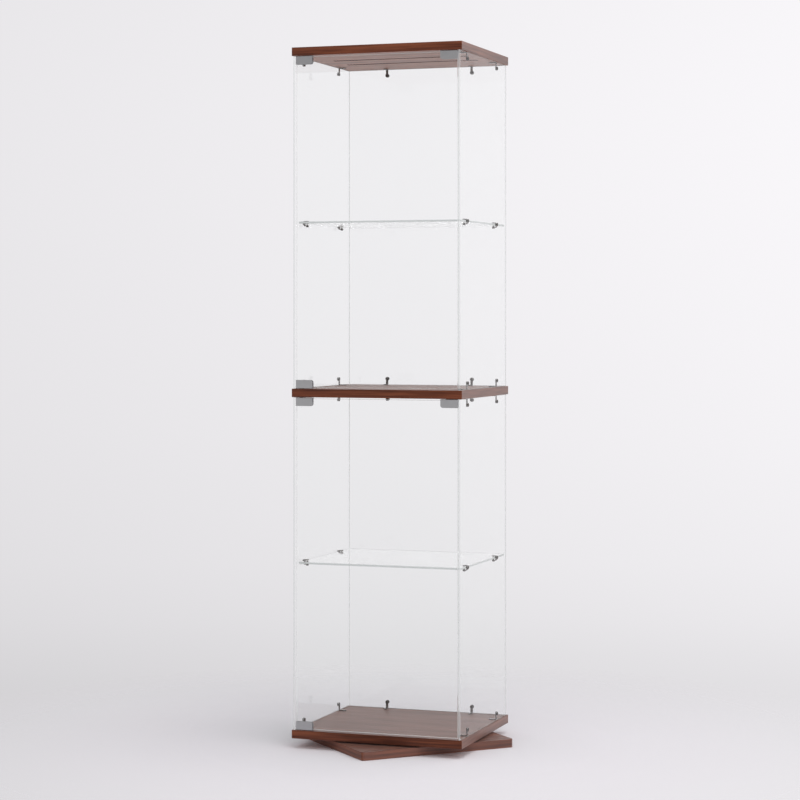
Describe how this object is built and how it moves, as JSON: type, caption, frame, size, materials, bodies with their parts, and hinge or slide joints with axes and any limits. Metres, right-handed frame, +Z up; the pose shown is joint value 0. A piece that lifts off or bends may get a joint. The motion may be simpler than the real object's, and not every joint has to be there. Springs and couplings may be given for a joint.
{
  "type": "revolving glass display cabinet",
  "caption": "Tall glass display case with two compartments, glass doors and shelves, on a turntable over a square base plate.",
  "frame": {"origin": "on the floor, on the axis that the case turns about", "axes": "+Z up along the turning axis, -Y towards the doors with the case at rest, +X to the right seen from the front"},
  "size_m": [0.556, 0.556, 1.666],
  "materials": {
    "board": "satin dark red-brown wood foil on board, fine straight grain",
    "glass": "clear float glass with polished edges",
    "satin_metal": "satin, cool light grey",
    "nickel": "bright nickel plate",
    "zinc": "zinc-plated pressed steel",
    "cage_plastic": "matt, with steel balls",
    "latch_plastic": "matt dark plastic",
    "plunger_steel": "ground steel tip"
  },
  "bodies": {
    "base": {"base_plate": "board", "turntable_lower_ring": "zinc"},
    "ball_cage": {"turntable_ball_cage": "cage_plastic"},
    "case": {"bottom_panel": "board", "lower_latch_body": "latch_plastic", "lower_left_wall_bottom_bracket_1": "nickel", "lower_left_wall_bottom_bracket_2": "nickel", "lower_left_wall_glass": "glass", "lower_left_wall_top_bracket_1": "nickel", "lower_left_wall_top_bracket_2": "nickel", "lower_rear_wall_bottom_bracket_1": "nickel", "lower_rear_wall_bottom_bracket_2": "nickel", "lower_rear_wall_glass": "glass", "lower_rear_wall_top_bracket_1": "nickel", "lower_rear_wall_top_bracket_2": "nickel", "lower_right_wall_bottom_bracket_1": "nickel", "lower_right_wall_bottom_bracket_2": "nickel", "lower_right_wall_glass": "glass", "lower_right_wall_top_bracket_1": "nickel", "lower_right_wall_top_bracket_2": "nickel", "lower_shelf_glass": "glass", "lower_shelf_left_clip_1": "nickel", "lower_shelf_left_clip_2": "nickel", "lower_shelf_right_clip_1": "nickel", "lower_shelf_right_clip_2": "nickel", "middle_panel": "board", "top_panel": "board", "turntable_upper_ring": "zinc", "upper_latch_body": "latch_plastic", "upper_left_wall_bottom_bracket_1": "nickel", "upper_left_wall_bottom_bracket_2": "nickel", "upper_left_wall_glass": "glass", "upper_left_wall_top_bracket_1": "nickel", "upper_left_wall_top_bracket_2": "nickel", "upper_rear_wall_bottom_bracket_1": "nickel", "upper_rear_wall_bottom_bracket_2": "nickel", "upper_rear_wall_glass": "glass", "upper_rear_wall_top_bracket_1": "nickel", "upper_rear_wall_top_bracket_2": "nickel", "upper_right_wall_bottom_bracket_1": "nickel", "upper_right_wall_bottom_bracket_2": "nickel", "upper_right_wall_glass": "glass", "upper_right_wall_top_bracket_1": "nickel", "upper_right_wall_top_bracket_2": "nickel", "upper_shelf_glass": "glass", "upper_shelf_left_clip_1": "nickel", "upper_shelf_left_clip_2": "nickel", "upper_shelf_right_clip_1": "nickel", "upper_shelf_right_clip_2": "nickel"},
    "lower_door": {"lower_door_bottom_hinge_clip": "satin_metal", "lower_door_glass": "glass", "lower_door_strike_plate": "satin_metal", "lower_door_top_hinge_clip": "satin_metal"},
    "upper_door": {"upper_door_bottom_hinge_clip": "satin_metal", "upper_door_glass": "glass", "upper_door_strike_plate": "satin_metal", "upper_door_top_hinge_clip": "satin_metal"},
    "lower_latch": {"lower_latch_plunger": "plunger_steel"},
    "upper_latch": {"upper_latch_plunger": "plunger_steel"}
  },
  "joints": [
    {"name": "turntable_spin", "type": "hinge", "parent": "base", "child": "case", "pos_m": [0, 0, 0.0245], "axis": [0, 0, 1], "continuous": true},
    {"name": "ball_cage_spin", "type": "hinge", "parent": "base", "child": "ball_cage", "pos_m": [0, 0, 0.0245], "axis": [0, 0, 1], "continuous": true},
    {"name": "lower_door_hinge", "type": "hinge", "parent": "case", "child": "lower_door", "pos_m": [-0.1895, -0.181, 0.4395], "axis": [0, 0, -1], "range_deg": [0, 110]},
    {"name": "upper_door_hinge", "type": "hinge", "parent": "case", "child": "upper_door", "pos_m": [-0.1895, -0.181, 1.2505], "axis": [0, 0, -1], "range_deg": [0, 110]},
    {"name": "lower_latch_push", "type": "slide", "parent": "case", "child": "lower_latch", "axis": [0, 1, 0], "range_m": [0, 0.003], "stiffness_N_per_m": 300},
    {"name": "upper_latch_push", "type": "slide", "parent": "case", "child": "upper_latch", "axis": [0, 1, 0], "range_m": [0, 0.003], "stiffness_N_per_m": 300}
  ],
  "couplings": [
    {"joint": "ball_cage_spin", "follows": "turntable_spin", "ratio": 0.5}
  ]
}
